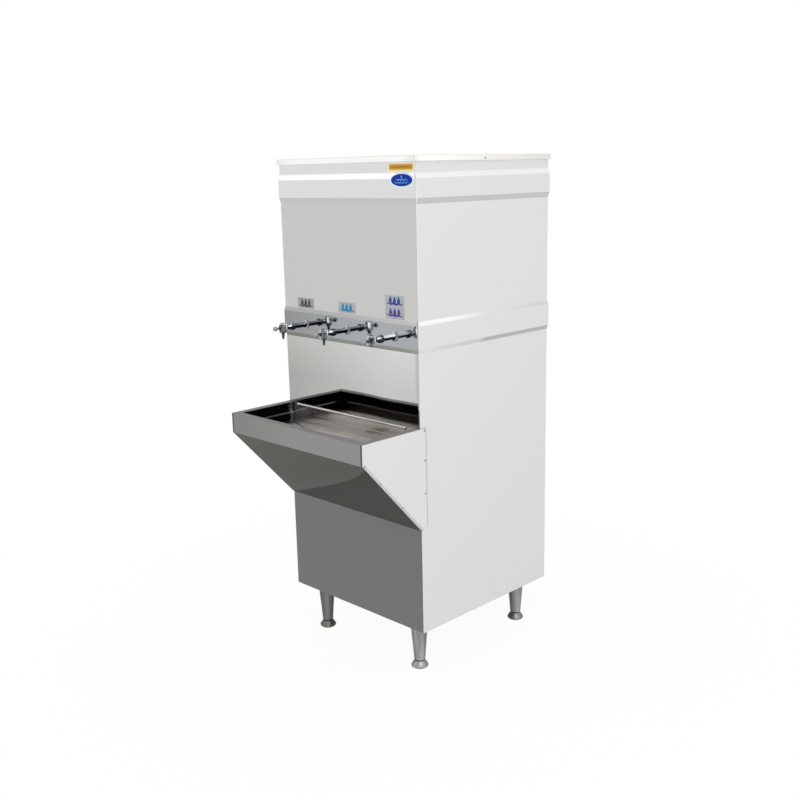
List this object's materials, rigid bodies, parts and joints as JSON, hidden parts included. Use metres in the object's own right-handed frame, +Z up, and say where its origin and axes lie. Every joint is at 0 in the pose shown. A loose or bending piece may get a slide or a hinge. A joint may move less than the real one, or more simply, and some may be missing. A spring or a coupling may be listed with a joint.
{
  "type": "drinking water cooler",
  "caption": "Free-standing stainless drinking water cooler with a projecting drip tray, self-closing push taps, lift-off lid and screw feet.",
  "frame": {"origin": "on the floor, midway between the farthest points in X and in Y", "axes": "+Z up; the front with the taps faces -Y; the right side panel, seen from the front, is on +X"},
  "size_m": [0.54, 0.767, 1.396],
  "materials": {
    "cabinet_side": "light grey, smooth semi-gloss",
    "cabinet_front": "bright rolled stainless, almost a mirror",
    "cabinet_front_lower": "satin stainless",
    "galvanised": "galvanised sheet, dull",
    "lid": "near white, semi-gloss",
    "tray": "satin stainless",
    "basin": "bright stainless, lightly scuffed",
    "chrome": "polished chrome plate",
    "legs": "satin turned metal",
    "brass": "bare machined brass",
    "tank": "food grade stainless",
    "foam": "rigid cream foam",
    "copper": "bare copper tube",
    "hose": "milky food grade hose",
    "black_metal": "black enamel",
    "black_plastic": "black moulded plastic",
    "white_plastic": "white moulded plastic",
    "condenser": "mill finish fins"
  },
  "bodies": {
    "cabinet": {"side_panel_left": "cabinet_side", "side_panel_right": "cabinet_side", "front_panel_upper": "cabinet_front", "front_panel_splash": "cabinet_front", "front_panel_lower": "cabinet_front_lower", "rear_panel_upper": "galvanised", "rear_panel_lower": "galvanised", "base_pan": "galvanised", "tank_shelf": "galvanised", "tray_apron": "tray", "basin": "basin", "basin_rear_rail": "basin", "drain_strainer": "chrome", "tap_left_body": "chrome", "tap_left_rosette": "chrome", "tap_middle_body": "chrome", "tap_middle_rosette": "chrome", "tap_right_body": "chrome", "tap_right_rosette": "chrome", "leg_front_left": "legs", "leg_front_right": "legs", "leg_rear_left": "legs", "leg_rear_right": "legs", "tap_left_locknut": "brass", "tap_middle_locknut": "brass", "tap_right_locknut": "brass", "float_valve": "brass", "inlet_fitting": "brass", "tank": "tank", "tank_cover": "tank", "tank_insulation": "foam", "evaporator_coil": "copper", "discharge_line": "copper", "suction_line": "copper", "filter_drier": "copper", "drain_hose": "hose", "supply_hose_left": "hose", "supply_hose_middle": "hose", "supply_hose_right": "hose", "water_line_in": "hose", "water_line_up": "hose", "compressor": "black_metal", "fan_motor": "black_metal", "fan_shroud": "black_plastic", "cord_gland": "black_plastic", "thermostat": "black_plastic", "water_filter": "white_plastic", "condenser": "condenser"},
    "lid": {"lid": "lid"},
    "foot_front_left": {"foot_front_left": "legs"},
    "foot_front_right": {"foot_front_right": "legs"},
    "foot_rear_left": {"foot_rear_left": "legs"},
    "foot_rear_right": {"foot_rear_right": "legs"},
    "tap_left_plunger": {"tap_left_plunger": "chrome"},
    "tap_middle_plunger": {"tap_middle_plunger": "chrome"},
    "tap_right_plunger": {"tap_right_plunger": "chrome"},
    "fan_rotor": {"fan_rotor": "black_plastic"},
    "thermostat_knob": {"thermostat_knob": "black_plastic"},
    "float_arm": {"float_arm": "white_plastic"}
  },
  "joints": [
    {"name": "lid_lift", "type": "slide", "parent": "cabinet", "child": "lid", "axis": [0, 0, 1], "range_m": [0, 0.06]},
    {"name": "foot_front_left_turn", "type": "hinge", "parent": "cabinet", "child": "foot_front_left", "pos_m": [-0.195, -0.1235, 0], "axis": [0, 0, 1], "continuous": true},
    {"name": "foot_front_right_turn", "type": "hinge", "parent": "cabinet", "child": "foot_front_right", "pos_m": [0.195, -0.1235, 0], "axis": [0, 0, 1], "continuous": true},
    {"name": "foot_rear_left_turn", "type": "hinge", "parent": "cabinet", "child": "foot_rear_left", "pos_m": [-0.195, 0.3025, 0], "axis": [0, 0, 1], "continuous": true},
    {"name": "foot_rear_right_turn", "type": "hinge", "parent": "cabinet", "child": "foot_rear_right", "pos_m": [0.195, 0.3025, 0], "axis": [0, 0, 1], "continuous": true},
    {"name": "tap_left_push", "type": "slide", "parent": "cabinet", "child": "tap_left_plunger", "axis": [0, 1, 0], "range_m": [0, 0.006], "stiffness_N_per_m": 400},
    {"name": "tap_middle_push", "type": "slide", "parent": "cabinet", "child": "tap_middle_plunger", "axis": [0, 1, 0], "range_m": [0, 0.006], "stiffness_N_per_m": 400},
    {"name": "tap_right_push", "type": "slide", "parent": "cabinet", "child": "tap_right_plunger", "axis": [0, 1, 0], "range_m": [0, 0.006], "stiffness_N_per_m": 400},
    {"name": "fan_spin", "type": "hinge", "parent": "cabinet", "child": "fan_rotor", "pos_m": [0.058, 0.258, 0.2774], "axis": [0, 1, 0], "continuous": true},
    {"name": "thermostat_turn", "type": "hinge", "parent": "cabinet", "child": "thermostat_knob", "pos_m": [0.1, 0.3587, 0.642], "axis": [0, 1, 0], "range_deg": [0, 270]},
    {"name": "float_swing", "type": "hinge", "parent": "cabinet", "child": "float_arm", "pos_m": [-0.1633, 0.2195, 1.263], "axis": [0, 1, 0], "range_deg": [-20, 0]}
  ]
}
